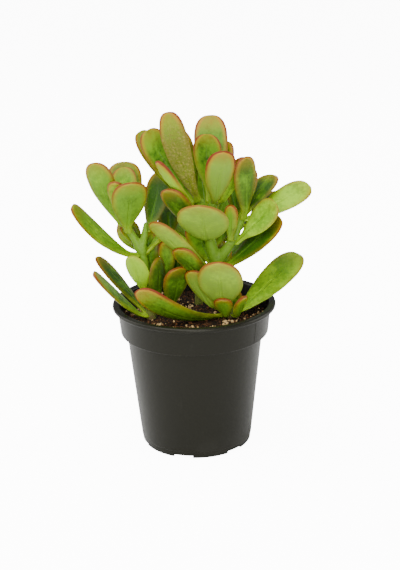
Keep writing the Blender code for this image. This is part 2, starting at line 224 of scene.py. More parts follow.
class JadeLeafSettings(bpy.types.PropertyGroup):
    """Shape and colours of the leaves."""

    seed: IntProperty(
        name="Seed", description="How the leaves differ", default=5)
    around: IntProperty(
        name="Around", description="Facets round a leaf", default=36)
    lengthwise: IntProperty(
        name="Lengthwise", description="Facets along a leaf", default=36)
    sharpness: FloatProperty(
        name="Edge Sharpness", description="1 is an oval section, more is a finer edge",
        default=1.15)
    rooting: FloatProperty(
        name="Rooting", description="How deep a leaf grows into its stem",
        default=1.2 * MM, unit="LENGTH")
    young: FloatVectorProperty(
        name="Young", description="Colour of a young leaf",
        default=(0.215, 0.390, 0.008), subtype="COLOR")
    mature: FloatVectorProperty(
        name="Mature", description="Colour of a grown leaf",
        default=(0.088, 0.198, 0.005), subtype="COLOR")
    # The darkest green: old leaves, and painted shade on the leaves that sit in shade
    deep: FloatVectorProperty(
        name="Deep", description="Colour of an old leaf",
        default=(0.018, 0.057, 0.002), subtype="COLOR")
    bloom: FloatVectorProperty(
        name="Bloom", description="Waxy bloom of the underside",
        default=(0.22, 0.30, 0.045), subtype="COLOR")
    margin: FloatVectorProperty(
        name="Margin", description="Sun-coloured edge",
        default=(0.13, 0.022, 0.006), subtype="COLOR")
    margin_width: FloatProperty(
        name="Margin Width", description="Width of the coloured edge",
        default=1.9 * MM, unit="LENGTH")
    halo: FloatVectorProperty(
        name="Halo", description="Ripening colour inside the edge",
        default=(0.27, 0.155, 0.008), subtype="COLOR")
    speckle: FloatVectorProperty(
        name="Speckle", description="Colour of the pale specks", default=(0.26, 0.38, 0.02),
        subtype="COLOR")
    patch: FloatVectorProperty(
        name="Patch", description="Ground colour of a corky patch",
        default=(0.120, 0.110, 0.010), subtype="COLOR")
    cork: FloatVectorProperty(
        name="Cork", description="Colour of the flecks on a corky patch",
        default=(0.34, 0.29, 0.070), subtype="COLOR")


class JadeStageSettings(bpy.types.PropertyGroup):
    """Camera, floor and light."""

    eye: FloatVectorProperty(
        name="Eye", description="Where the camera stands", default=(0.0043, -0.9453, 0.4392),
        subtype="TRANSLATION", unit="LENGTH")
    aim: FloatVectorProperty(
        name="Aim", description="What the camera looks at", default=(0.0043, 0.0, 0.1130),
        subtype="TRANSLATION", unit="LENGTH")
    lens: FloatProperty(
        name="Lens", description="Focal length in millimetres", default=92.3)
    roll: FloatProperty(
        name="Roll", description="Tilt of the camera", default=radians(-1.14), unit="ROTATION")
    floor: FloatVectorProperty(
        name="Floor", description="Colour of the floor",
        default=(0.80, 0.80, 0.78), subtype="COLOR")
    sky: FloatProperty(
        name="Sky", description="Strength of the surrounding light", default=0.40)
    backdrop: FloatProperty(
        name="Backdrop", description="How brightly the floor and the surroundings glow to the eye",
        default=11.0)
    key: FloatProperty(
        name="Key", description="Power of the softbox above the front", default=45.0, unit="POWER")
    top: FloatProperty(
        name="Top", description="Power of the softbox above the back", default=6.0, unit="POWER")
    front: FloatProperty(
        name="Front", description="Power of the softbox in front", default=20.0, unit="POWER")
    sides: FloatProperty(
        name="Sides", description="Power of each softbox at the sides", default=16.0, unit="POWER")


# Shader maths


class Paint:
    """A shader socket that Python's operators work on. Each operation adds its Math node."""

    def __init__(self, tree, socket=None):
        self.tree = tree
        self.socket = socket

    def node(self, kind, settings=None, inputs=None, output=0):
        """Add any node: its settings first, then the values or links of its sockets."""
        made = self.tree.nodes.new(kind)
        for name, value in (settings or {}).items():
            setattr(made, name, value)
        for name, value in (inputs or {}).items():
            if isinstance(value, Paint):
                self.tree.links.new(value.socket, made.inputs[name])
            else:
                made.inputs[name].default_value = value
        return Paint(self.tree, made.outputs[output] if made.outputs else None)

    def math(self, operation, first, second):
        return self.node("ShaderNodeMath", {"operation": operation}, {0: first, 1: second})

    def __add__(self, other):
        return self.math("ADD", self, other)

    def __radd__(self, other):
        return self.math("ADD", other, self)

    def __sub__(self, other):
        return self.math("SUBTRACT", self, other)

    def __rsub__(self, other):
        return self.math("SUBTRACT", other, self)

    def __mul__(self, other):
        return self.math("MULTIPLY", self, other)

    def __rmul__(self, other):
        return self.math("MULTIPLY", other, self)

    def step(self, low, high, start=0.0, end=1.0):
        """start below low, end above high, and smooth between."""
        settings = {"interpolation_type": "SMOOTHSTEP"}
        inputs = {0: self, 1: low, 2: high, 3: start, 4: end}
        return self.node("ShaderNodeMapRange", settings, inputs)

    def fade(self, low, high):
        """1 below low, 0 above high, and smooth between."""
        return self.step(low, high, 1.0, 0.0)

    def mix(self, first, second):
        """Blend two colours; this value is the share of the second."""
        settings = {"data_type": "RGBA"}
        inputs = {0: self, 6: colour(first), 7: colour(second)}
        return self.node("ShaderNodeMix", settings, inputs, output=2)


def colour(value):
    return value if isinstance(value, Paint) else (*value, 1.0)


def new_material(name):
    """An empty node material and a Paint to start its nodes from."""
    material = bpy.data.materials.new(name)
    material.use_nodes = True
    material.node_tree.nodes.clear()
    return material, Paint(material.node_tree)


def finish_material(material, paint, surface, viewport):
    paint.node("ShaderNodeOutputMaterial", inputs={"Surface": surface})
    material.diffuse_color = (*viewport, 1.0)
    return material


def finish_principled(material, paint, inputs, viewport):
    surface = paint.node("ShaderNodeBsdfPrincipled", inputs=inputs)
    return finish_material(material, paint, surface, viewport)


def surface_noise(paint, place, scale, detail, roughness=0.55):
    inputs = {"Vector": place, "Scale": scale, "Detail": detail, "Roughness": roughness}
    return paint.node("ShaderNodeTexNoise", inputs=inputs)


def attribute(paint, name):
    return paint.node("ShaderNodeAttribute", {"attribute_name": name}, output=2)


def object_place(paint):
    return paint.node("ShaderNodeTexCoord", output=3)


def bump(paint, height, distance):
    inputs = {"Height": height, "Distance": distance, "Strength": 1.0}
    return paint.node("ShaderNodeBump", inputs=inputs)


# Mesh helpers


def add_piece(name, mesh_data, material, stands_for, smooth=True):
    """Make a finished piece of a bmesh, on the plant's one body."""
    bmesh.ops.recalc_face_normals(mesh_data, faces=mesh_data.faces)
    for face in mesh_data.faces:
        face.smooth = smooth
    mesh = bpy.data.meshes.new(name)
    mesh_data.to_mesh(mesh)
    mesh_data.free()
    mesh.materials.append(material)
    piece = bpy.data.objects.new(name, mesh)
    bpy.context.scene.collection.objects.link(piece)
    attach(piece, "root")
    if stands_for:
        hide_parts(stands_for)
    return piece


def node_shell(name):
    """A merged copy of a node's mesh."""
    shell = bmesh.new()
    shell.from_mesh(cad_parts[name].data)
    bmesh.ops.remove_doubles(shell, verts=shell.verts, dist=0.005 * MM)
    return shell


def applied(piece):
    """Bake a piece's modifiers into its mesh."""
    graph = bpy.context.evaluated_depsgraph_get()
    mesh = bpy.data.meshes.new_from_object(piece.evaluated_get(graph))
    piece.modifiers.clear()
    piece.data = mesh


def cut(piece, cutters):
    """Subtract a bmesh of closed shapes from a piece."""
    mesh = bpy.data.meshes.new("cutter")
    bmesh.ops.recalc_face_normals(cutters, faces=cutters.faces)
    cutters.to_mesh(mesh)
    cutters.free()
    tool = bpy.data.objects.new("cutter", mesh)
    bpy.context.scene.collection.objects.link(tool)
    modifier = piece.modifiers.new("Cut", "BOOLEAN")
    modifier.operation = "DIFFERENCE"
    modifier.solver = "EXACT"
    modifier.object = tool
    applied(piece)
    bpy.data.objects.remove(tool, do_unlink=True)


def turned(profile, segments):
    """Spin a list of (radius, height) points round Z into a closed shape."""
    shape = bmesh.new()
    points = [shape.verts.new((radius, 0.0, height)) for radius, height in profile]
    edges = [shape.edges.new(pair) for pair in zip(points, points[1:])]
    bmesh.ops.spin(
        shape, geom=points + edges, cent=(0, 0, 0), axis=(0, 0, 1),
        angle=2 * pi, steps=segments, use_merge=True)
    bmesh.ops.remove_doubles(shape, verts=shape.verts, dist=0.001 * MM)
    return shape


def rounded(profile, radius, steps=3):
    """Round the corners of a list of (x, y) points; its two ends stay."""
    result = [profile[0]]
    for before, corner, after in zip(profile, profile[1:], profile[2:]):
        corner = Vector(corner)
        back = Vector(before) - corner
        ahead = Vector(after) - corner
        reach = min(radius, back.length * 0.45, ahead.length * 0.45)
        start = corner + back.normalized() * reach
        end = corner + ahead.normalized() * reach
        for step in range(steps + 1):
            t = step / steps
            point = start * (1 - t) ** 2 + corner * 2 * t * (1 - t) + end * t ** 2
            result.append(tuple(point))
    result.append(profile[-1])
    return result


# Pot


def pot_profile(pot):
    """Outline of the pot from the middle of its underside to the middle of its inner floor."""
    top = POT_HIGH.z
    lip_radius = POT_HIGH.x
    wall = pot.wall
    groove = 0.25 * MM
    groove_height = 5.0 * MM
    slope = (pot.body_radius - pot.base_radius) / pot.step_height
    groove_radius = pot.base_radius + slope * groove_height
    return [
        (0.0, 0.0),
        (DISC_RADIUS, 0.0),
        (DISC_RADIUS + RECESS_DRAFT, RECESS_HEIGHT),
        (FOOT_INNER_RADIUS - RECESS_DRAFT, RECESS_HEIGHT),
        (FOOT_INNER_RADIUS, 0.0),
        (pot.base_radius - 1.2 * MM, 0.0),
        (pot.base_radius, 1.2 * MM),
        (groove_radius - groove, groove_height),
        (groove_radius + groove / 2, groove_height + groove),
        (pot.body_radius - 0.1 * MM, pot.step_height - 0.2 * MM),
        (pot.band_low_radius - 0.4 * MM, pot.step_height),
        (pot.band_low_radius, pot.step_height + 0.6 * MM),
        (pot.band_top_radius, top - pot.lip_depth),
        (lip_radius - 0.7 * MM, top - pot.lip_depth + 0.2 * MM),
        (lip_radius, top - pot.lip_depth + 1.0 * MM),
        (lip_radius - 0.05 * MM, top - 0.9 * MM),
        (lip_radius - 0.9 * MM, top),
        (pot.band_top_radius - wall + 0.5 * MM, top - 0.1 * MM),
        (pot.band_top_radius - wall - 0.1 * MM, top - 0.9 * MM),
        (pot.band_low_radius - wall, pot.step_height + wall),
        (pot.body_radius - wall, pot.step_height + wall),
        (pot.base_radius - wall, POT_FLOOR_TOP),
        (0.0, POT_FLOOR_TOP),
    ]


def around(index, count, start):
    """Turn about Z to the index-th of count places, the first at start degrees."""
    return Matrix.Rotation(radians(start) + 2 * pi * index / count, 4, "Z")


def drain_cutters(pot):
    """Round holes through the floor, and notches that let the water out under the foot."""
    cutters = bmesh.new()
    for index in range(HOLE_COUNT):
        slide = Matrix.Translation((HOLE_CIRCLE, 0, 3.0 * MM))
        bmesh.ops.create_cone(
            cutters, cap_ends=True, segments=32, radius1=HOLE_RADIUS, radius2=HOLE_RADIUS,
            depth=8.0 * MM, matrix=around(index, HOLE_COUNT, HOLE_START) @ slide)
    slide = Matrix.Translation(((pot.base_radius + FOOT_INNER_RADIUS) / 2, 0, 0))
    size = Matrix.Diagonal((*NOTCH_SIZE, 1.0))
    for index in range(NOTCH_COUNT):
        made = bmesh.ops.create_cube(
            cutters, size=1.0, matrix=around(index, NOTCH_COUNT, NOTCH_START) @ slide @ size)
        corners = set(made["verts"])
        uprights = [
            edge for edge in cutters.edges
            if set(edge.verts) <= corners and abs(edge.verts[0].co.z - edge.verts[1].co.z) > MM
        ]
        bmesh.ops.bevel(
            cutters, geom=uprights, offset=1.0 * MM, offset_type="OFFSET", affect="EDGES",
            segments=3, profile=0.5, material=-1)
    return cutters


def plastic_material(pot):
    """Black moulded plastic: faint flow streaks, scuffs and a dusty foot."""
    material, paint = new_material("charcoal_plastic")
    place = object_place(paint)
    height = paint.node("ShaderNodeSeparateXYZ", inputs={0: place}, output=2)
    streaks = surface_noise(
        paint, paint.node("ShaderNodeMapping", inputs={"Vector": place, "Scale": (1.0, 1.0, 0.12)}),
        260.0, 4.0)
    clouds = surface_noise(paint, place, 38.0, 4.0)
    grain = surface_noise(paint, place, 2200.0, 2.0)
    dust = height.fade(0.002, 0.022) * clouds.step(0.42, 0.72)
    scuffs = streaks.step(0.60, 0.74) * clouds.step(0.45, 0.7)
    plain = tuple(pot.plastic)
    worn = tuple(channel * 2.2 + 0.005 for channel in plain)
    base = (dust * 0.5 + scuffs * 0.35).mix(plain, worn)
    rough = pot.roughness + clouds * 0.10 + dust * 0.12 + scuffs * 0.08
    inputs = {
        "Base Color": base,
        "Roughness": rough,
        "Specular IOR Level": 0.16,
        "Specular Tint": (1.0, 0.98, 0.84, 1.0),
        "Normal": bump(paint, grain * 0.5 + streaks * 0.5, 0.06 * MM),
    }
    return finish_principled(material, paint, inputs, plain)


class JADE_OT_pot(bpy.types.Operator):
    """Turn the nursery pot, with its lip, band, seam, drain holes and foot notches."""

    bl_idname = "jade.pot"
    bl_label = "Nursery Pot"

    def execute(self, context):
        pot = context.scene.jade_pot
        shape = turned(rounded(pot_profile(pot), pot.corner), pot.segments)
        piece = add_piece("nursery_pot", shape, plastic_material(pot), "grower_pot")
        cut(piece, drain_cutters(pot))
        piece.data.set_sharp_from_angle(angle=radians(40))
        seam = mould_seam(pot)
        add_piece("pot_mould_seam", seam, piece.data.materials[0], None)
        return {"FINISHED"}


def mould_seam(pot):
    """The raised line that the mould's halves leave on the band."""
    seam = bmesh.new()
    low = pot.step_height + 0.8 * MM
    high = POT_HIGH.z - pot.lip_depth
    bmesh.ops.create_cube(seam, size=1.0)
    bmesh.ops.subdivide_edges(seam, edges=seam.edges, cuts=2, use_grid_fill=True)
    for vert in seam.verts:
        share = vert.co.z + 0.5
        radius = pot.band_low_radius + (pot.band_top_radius - pot.band_low_radius) * share
        vert.co.x = radius - 0.12 * MM + vert.co.x * 0.5 * MM
        vert.co.y = vert.co.y * 0.5 * MM
        vert.co.z = low + (high - low) * share
    turn = Matrix.Rotation(radians(SEAM_ANGLE), 4, "Z")
    bmesh.ops.transform(seam, matrix=turn, verts=seam.verts)
    return seam


# Potting mix


def mix_relief(x, y, relief):
    """Lumps of the mix, from large to small."""
    place = Vector((x, y, 0.031))
    broad = noise.noise(place * 45)
    medium = noise.noise(place * 170)
    fine = noise.noise(place * 520)
    return relief * (1.3 * broad + 0.7 * medium + 0.35 * fine)


def mix_height(x, y, mix):
    rim = sqrt(x * x + y * y) / 0.05
    return POT_HIGH.z - mix.level + mix_relief(x, y, mix.relief) - 0.8 * MM * rim ** 4


def mix_profile(pot, edge_radius, level):
    gap = pot.wall + 0.3 * MM
    rings = 64
    outline = [
        (0.0, MIX_LOW.z),
        (pot.base_radius - gap, MIX_LOW.z),
        (pot.body_radius - gap, pot.step_height + gap),
        (pot.band_low_radius - gap, pot.step_height + gap),
    ]
    top = [(edge_radius * (1 - ring / rings), level) for ring in range(rings + 1)]
    return outline + top


def mix_material(mix):
    """Damp peat, dark in its hollows and brown on its crumbs."""
    material, paint = new_material("peat_mix")
    place = object_place(paint)
    crumbs = paint.node("ShaderNodeTexVoronoi", inputs={"Vector": place, "Scale": 620.0}, output=0)
    clods = surface_noise(paint, place, 240.0, 5.0, 0.65)
    fibre = surface_noise(paint, place, 1500.0, 3.0)
    peat = tuple(mix.peat)
    brown = tuple(0.35 * bark + 0.5 * dark for bark, dark in zip(mix.bark, peat))
    base = (clods.step(0.45, 0.75) * (0.4 + fibre * 0.6)).mix(peat, brown)
    inputs = {
        "Base Color": base,
        "Roughness": 0.82 + fibre * 0.16,
        "Specular IOR Level": 0.12,
        "Normal": bump(paint, clods * 0.6 + crumbs * 0.5 + fibre * 0.25, 0.7 * MM),
    }
    return finish_principled(material, paint, inputs, peat)


class JADE_OT_mix(bpy.types.Operator):
    """Fill the pot with lumpy potting mix."""

    bl_idname = "jade.mix"
    bl_label = "Potting Mix"

    def execute(self, context):
        pot = context.scene.jade_pot
        mix = context.scene.jade_mix
        level = POT_HIGH.z - mix.level
        edge_radius = MIX_HIGH.x
        shape = turned(mix_profile(pot, edge_radius, level), 300)
        for vert in shape.verts:
            if vert.co.z > level - 0.1 * MM:
                vert.co.z = mix_height(vert.co.x, vert.co.y, mix)
        add_piece("peat_and_bark", shape, mix_material(mix), "potting_mix")
        return {"FINISHED"}


def clear_of_stems(x, y, feet, margin):
    return all(
        (x - foot.x) ** 2 + (y - foot.y) ** 2 > (radius + margin) ** 2
        for foot, radius in feet)


def stem_feet():
    """Where each stem leaves the mix, and its radius there."""
    feet = []
    level = MIX_HIGH.z
    for name in STEM_NODES:
        shell = node_shell(name)
        near = [vert.co.copy() for vert in shell.verts if abs(vert.co.z - level) < 5 * MM]
        shell.free()
        middle = sum(near, Vector()) / len(near)
        radius = sum((point - middle).to_2d().length for point in near) / len(near)
        feet.append((middle, radius))
    return feet


def scatter(count, seed, reach, clumping):
    """Places on the mix, clear of the stems and in loose clumps."""
    luck = Random(seed)
    feet = stem_feet()
    places = []
    while len(places) < count:
        radius = reach * sqrt(luck.random())
        angle = luck.uniform(0, 2 * pi)
        x = radius * cos(angle)
        y = radius * sin(angle)
        drift = noise.noise(Vector((x, y, seed * 0.01)) * 75) + 0.25 * luck.random()
        if drift > clumping and clear_of_stems(x, y, feet, 0.6 * MM):
            places.append((x, y))
    return places, luck


def grain(mesh_data, place, size, turn, luck, tint, lumpiness):
    """One loose grain: a knocked-about ball, stretched, turned and laid in place."""
    made = bmesh.ops.create_icosphere(mesh_data, subdivisions=1, radius=0.5)
    layer = mesh_data.verts.layers.float["tint"]
    offset = Vector((luck.uniform(0, 50), luck.uniform(0, 50), 0))
    matrix = Matrix.Translation(place) @ turn.to_matrix().to_4x4() @ Matrix.Diagonal((*size, 1.0))
    for vert in made["verts"]:
        knock = 1 + lumpiness * noise.noise(vert.co * 2.6 + offset)
        vert.co = matrix @ (vert.co * knock)
        vert[layer] = tint


def grain_material(name, dark, light, scale, roughness):
    """A loose grain's dry surface; its tint runs between two colours."""
    material, paint = new_material(name)
    place = object_place(paint)
    clouds = surface_noise(paint, place, scale, 3.0)
    share = attribute(paint, "tint") * 0.75 + clouds.step(0.3, 0.7) * 0.25
    inputs = {
        "Base Color": share.mix(dark, light),
        "Roughness": roughness + clouds * 0.2,
        "Specular IOR Level": 0.15,
        "Normal": bump(paint, clouds, 0.25 * MM),
    }
    return finish_principled(material, paint, inputs, light)


class JADE_OT_grains(bpy.types.Operator):
    """Strew bark chips and perlite over the mix."""

    bl_idname = "jade.grains"
    bl_label = "Bark and Perlite"

    def execute(self, context):
        mix = context.scene.jade_mix
        reach = MIX_HIGH.x - 2.0 * MM
        chips = bmesh.new()
        chips.verts.layers.float.new("tint")
        places, luck = scatter(mix.bark_count, mix.seed, reach, -0.6)
        for x, y in places:
            length = luck.uniform(0.8, 3.4) * MM * (0.6 + 0.8 * luck.random() ** 3)
            size = (length, length * luck.uniform(0.25, 0.7), length * luck.uniform(0.12, 0.4))
            turn = Euler((luck.gauss(0, 0.5), luck.gauss(0, 0.5), luck.uniform(0, 2 * pi)))
            height = mix_height(x, y, mix) + 0.25 * size[2]
            grain(chips, (x, y, height), size, turn, luck, luck.random() ** 2.2, 0.7)
        peat = tuple(mix.peat)
        bark = grain_material("bark_chips", peat, tuple(mix.bark), 420.0, 0.7)
        add_piece("bark_chips", chips, bark, None, smooth=False)
        grains = bmesh.new()
        grains.verts.layers.float.new("tint")
        places, luck = scatter(mix.perlite_count, mix.seed + 1, reach, 0.12)
        for x, y in places:
            length = luck.uniform(0.9, 2.9) * MM * (0.55 + 0.6 * luck.random() ** 2)
            size = (length, length * luck.uniform(0.7, 1.0), length * luck.uniform(0.6, 0.95))
            turn = Euler((luck.uniform(0, 6), luck.uniform(0, 6), luck.uniform(0, 6)))
            height = mix_height(x, y, mix) + 0.3 * size[2]
            grain(grains, (x, y, height), size, turn, luck, luck.random(), 0.8)
        shade = tuple(channel * 0.45 for channel in mix.perlite)
        perlite = grain_material("perlite", shade, tuple(mix.perlite), 900.0, 0.75)
        add_piece("perlite_grains", grains, perlite, None, smooth=False)
        return {"FINISHED"}


# Stems


def leaf_bases():
    """Where each leaf's base is, by leaf."""
    return {name: leaf_keys(name)[1][0][:3] for name in LEAF_NODES}


def stem_material(stem):
    """Fleshy green stem that turns corky towards the mix, with scars and lenticels."""
    material, paint = new_material("stem_skin")
    place = object_place(paint)
    height = paint.node("ShaderNodeSeparateXYZ", inputs={0: place}, output=2)
    clouds = surface_noise(paint, place, 130.0, 4.0, 0.6)
    fine = surface_noise(paint, place, 900.0, 3.0)
    rings = surface_noise(
        paint, paint.node("ShaderNodeMapping", inputs={"Vector": place, "Scale": (0.3, 0.3, 1.0)}),
        420.0, 3.0)
    scar = attribute(paint, "scar")
    age = height.fade(0.096, 0.135) * 0.65 + clouds.step(0.52, 0.72) * 0.25 + scar * 0.8
    shade = tuple(channel * 0.62 for channel in stem.green)
    green = (rings.step(0.4, 0.7) * 0.35).mix(tuple(stem.green), shade)
    inputs = {
        "Base Color": age.step(0.1, 1.0).mix(green, tuple(stem.cork)),
        "Roughness": 0.42 + age * 0.3,
        "Normal": bump(paint, rings * 0.6 + fine * 0.3 + scar * 0.4, 0.35 * MM),
        "Specular IOR Level": 0.12,
        "Subsurface Weight": 0.06,
        "Subsurface Radius": (0.6, 1.0, 0.1),
        "Subsurface Scale": 0.002,
    }
    return finish_principled(material, paint, inputs, tuple(stem.green))


class JADE_OT_stems(bpy.types.Operator):
    """Give each stem a fine skin that swells where its leaves join."""

    bl_idname = "jade.stems"
    bl_label = "Stems"

    def execute(self, context):
        stem = context.scene.jade_stem
        skin = stem_material(stem)
        bases = [Vector(base) for base in leaf_bases().values()]
        for name in STEM_NODES:
            piece = add_piece(name + "_skin", node_shell(name), skin, name)
            modifier = piece.modifiers.new("Skin", "REMESH")
            modifier.mode = "VOXEL"
            modifier.voxel_size = stem.skin
            applied(piece)
            dress_stem(piece, bases, stem.collar)
        return {"FINISHED"}


def dress_stem(piece, bases, collar):
    """Smooth a stem's skin and raise a collar with a brown scar at each leaf base."""
    shape = bmesh.new()
    shape.from_mesh(piece.data)
    for _ in range(8):
        bmesh.ops.smooth_vert(
            shape, verts=shape.verts, factor=0.5, use_axis_x=True, use_axis_y=True, use_axis_z=True)
    shape.normal_update()
    layer = shape.verts.layers.float.new("scar")
    moves = []
    for vert in shape.verts:
        swell = 0.0
        scar = 0.0
        for base in bases:
            gap = vert.co - base
            if gap.length < 9 * MM:
                close = exp(-(gap.to_2d().length / (6 * MM)) ** 2)
                swell = max(swell, close * exp(-((gap.z + 0.3 * MM) / (1.5 * MM)) ** 2))
                scar = max(scar, close * exp(-((gap.z + 1.6 * MM) / (0.35 * MM)) ** 2))
        lumps = noise.noise(vert.co * 160) * 0.18 * MM
        moves.append(vert.normal * (collar * swell + lumps + 0.12 * MM))
        vert[layer] = scar
    for vert, move in zip(shape.verts, moves):
        vert.co += move
    for face in shape.faces:
        face.smooth = True
    shape.to_mesh(piece.data)
    shape.free()


# Leaves


def ring_layers(start):
    """Vertices by their distance in edges from a vertex."""
    layers = [[start]]
    seen = {start}
    while True:
        following = []
        for vert in layers[-1]:
            for edge in vert.link_edges:
                other = edge.other_vert(vert)
                if other not in seen:
                    seen.add(other)
                    following.append(other)
        if not following:
            return layers
        layers.append(following)


def in_order(ring):
    """The ring's points, one after the other round it."""
    members = set(ring)
    ordered = [ring[0]]
    while len(ordered) < len(ring):
        for edge in ordered[-1].link_edges:
            other = edge.other_vert(ordered[-1])
            if other in members and other not in ordered:
                ordered.append(other)
                break
    return [vert.co.copy() for vert in ordered]


def ring_width(ring):
    return max((a - b).length for a in ring for b in ring)


def leaf_rings(name):
    """A leaf node's base, its rings of points from base to tip, and its tip."""
    shell = node_shell(name)
    for vert in shell.verts:
        layers = ring_layers(vert)
        size = len(layers[1])
        if len(layers[-1]) == 1 and all(len(layer) == size for layer in layers[1:-1]):
            break
    else:
        raise RuntimeError(f"{name} has no pole to read its rings from")
    rings = [in_order(layer) for layer in layers[1:-1]]
    poles = [layers[0][0].co.copy(), layers[-1][0].co.copy()]
    shell.free()
    widths = [ring_width(ring) for ring in rings]
    half = len(rings) // 2
    if sum(widths[:half]) > sum(widths[-half:]):
        rings.reverse()
        poles.reverse()
    return poles[0], rings, poles[1]


_read_leaves = {}


def leaf_keys(name):
    """Angles from base to tip and, for each, the leaf's middle, across, normal and sizes."""
    if name in _read_leaves:
        return _read_leaves[name]
    base, rings, tip = leaf_rings(name)
    half_turn = len(rings[0]) // 2
    quarter = half_turn // 2
    widest = max(range(len(rings)), key=lambda index: ring_width(rings[index]))
    chords = [None] * len(rings)
    order = list(range(widest, len(rings))) + list(range(widest - 1, -1, -1))
    for index in order:
        ring = rings[index]
        pairs = [(ring[(k + half_turn) % len(ring)] - ring[k], k) for k in range(len(ring))]
        if index == widest:
            best = max(pairs, key=lambda pair: pair[0].length)
        else:
            guide = chords[index - 1 if index > widest else index + 1][0].normalized()
            best = max(pairs, key=lambda pair: pair[0].normalized().dot(guide))
        chords[index] = best
    middles = [ring[k] + chord / 2 for ring, (chord, k) in zip(rings, chords)]
    line = [base, *middles, tip]
    steps = [(b - a).length for a, b in zip(line, line[1:])]
    total = sum(steps)
    lean = sum(
        (middle - sum(ring, Vector()) / len(ring)).dot(chord.cross(after - before).normalized())
        for ring, middle, (chord, _), before, after in zip(rings, middles, chords, line, line[2:])
    )
    side = -1.0 if lean > 0 else 1.0
    keys = [0.0]
    values = []
    reach = 0.0
    for index, ring in enumerate(rings):
        chord, k = chords[index]
        along = (line[index + 2] - line[index]).normalized()
        across = chord.normalized() * side
        normal = along.cross(across).normalized()
        faces = [
            (ring[(k + shift) % len(ring)] - middles[index]).dot(normal)
            for shift in (quarter, -quarter)
        ]
        reach += steps[index]
        keys.append(acos(1 - 2 * reach / total))
        values.append([*middles[index], *across, *normal, chord.length / 2, max(faces), min(faces)])
    keys.append(pi)
    values.insert(0, [*base, *values[0][3:9], 0.0, 0.0, 0.0])
    values.append([*tip, *values[-1][3:9], 0.0, 0.0, 0.0])
    _read_leaves[name] = (np.array(keys), np.array(values))
    return _read_leaves[name]


def sprout_keys(name):
    """The same keys as leaf_keys gives, for a plain small leaf."""
    base, tip, width, turn = SPROUTS[name]
    base = Vector(base) * MM
    line = Vector(tip) * MM - base
    across = line.cross(Vector((0, 1, 0))).normalized()
    across = Matrix.Rotation(radians(turn), 3, line) @ across
    normal = line.cross(across).normalized()
    keys = []
    values = []
    for step in range(10):
        share = step / 9
        half = width * MM / 2 * max(0.0, sin(pi * share ** 1.3)) ** 0.65
        middle = base + line * share + normal * 0.06 * line.length * sin(pi * share)
        keys.append(acos(1 - 2 * share))
        values.append([*middle, *across, *normal, half, half * 0.25, half * -0.35])
    return np.array(keys), np.array(values)


def smooth_row(keys, values, slopes, angle):
    """The row of values at an angle, on a smooth curve through the keys."""
    index = int(min(max(np.searchsorted(keys, angle) - 1, 0), len(keys) - 2))
    width = keys[index + 1] - keys[index]
    t = (angle - keys[index]) / width
    return (
        values[index] * (2 * t ** 3 - 3 * t ** 2 + 1)
        + slopes[index] * width * (t ** 3 - 2 * t ** 2 + t)
        + values[index + 1] * (3 * t ** 2 - 2 * t ** 3)
        + slopes[index + 1] * width * (t ** 3 - t ** 2)
    )


def stem_points():
    """Every corner of every stem node."""
    points = []
    for name in STEM_NODES:
        shell = node_shell(name)
        points += [vert.co.copy() for vert in shell.verts]
        shell.free()
    return points


def plant_box():
    """The lowest and the highest corner of all the nodes together."""
    corners = [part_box(name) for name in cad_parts]
    low = [min(box[0][axis] for box in corners) for axis in range(3)]
    high = [max(box[1][axis] for box in corners) for axis in range(3)]
    return low, high


def move_into_stem(base, outward, points, depth):
    """The move that roots a leaf's base in the nearest stem."""
    nearest = min(points, key=lambda point: (point - base).length)
    pull = nearest - base
    return pull + pull.normalized() * depth - outward * depth * 0.5


def grow_leaf(name, leaf, points, luck, limits):
    """A fine leaf on a node's rings, with where each point lies on it stored for the finish."""
    keys, values = sprout_keys(name) if name in SPROUTS else leaf_keys(name)
    slopes = np.gradient(values, keys, axis=0)
    shape = bmesh.new()
    bmesh.ops.create_uvsphere(
        shape, u_segments=leaf.around, v_segments=leaf.lengthwise, radius=1.0)
    layers = {label: shape.verts.layers.float.new(label) for label in LEAF_LAYERS}
    branch, number = name.rsplit("_", 1)
    # The age value holds the leaf's age together with painted shade for a leaf that sits in shade
    age = LEAF_AGE_AND_SHADE[branch][int(number) - 1]
    blush = LEAF_BLUSH.get(name, USUAL_BLUSH)
    tint = luck.random()
    base = Vector(values[0][:3])
    outward = (Vector(values[2][:3]) - base).normalized()
    root_move = move_into_stem(base, outward, points, leaf.rooting)
    wave = luck.uniform(0, 100)
    for vert in shape.verts:
        share = (1 + vert.co.z) / 2
        angle = acos(max(-1.0, min(1.0, -vert.co.z)))
        turn = atan2(vert.co.y, vert.co.x)
        row = smooth_row(keys, values, slopes, angle)
        middle, across, normal = (Vector(row[start:start + 3]) for start in (0, 3, 6))
        half, above, below = (float(number) for number in row[9:12])
        half *= LEAF_BREADTH.get(name, 1.0)
        half *= 1 + 0.018 * noise.noise(Vector((share * 7, cos(turn), wave)))
        lift = (above if sin(turn) > 0 else below) * abs(sin(turn)) ** leaf.sharpness
        hold = max(0.0, 1 - share / ROOTED_SHARE) ** 2
        vert.co = middle + across * half * cos(turn) + normal * lift + root_move * hold
        vert.co += normal * 0.12 * MM * noise.noise(vert.co * 90)
        vert.co = Vector(min(max(value, low), high) for value, low, high in zip(vert.co, *limits))
        vert[layers["along"]] = share
        vert[layers["mid"]] = half * cos(turn) / MM
        vert[layers["rim"]] = half * (1 - abs(cos(turn))) / MM
        vert[layers["upper"]] = 0.5 + 0.5 * max(-1.0, min(1.0, sin(turn) * 3))
        vert[layers["age"]] = age
        vert[layers["blush"]] = blush
        vert[layers["scar"]] = 1.0 if name == SCARRED_LEAF else 0.0
        vert[layers["tint"]] = tint
        vert[layers["waxy"]] = 1.0 if name in WAXY_LEAVES else 0.0
    return shape


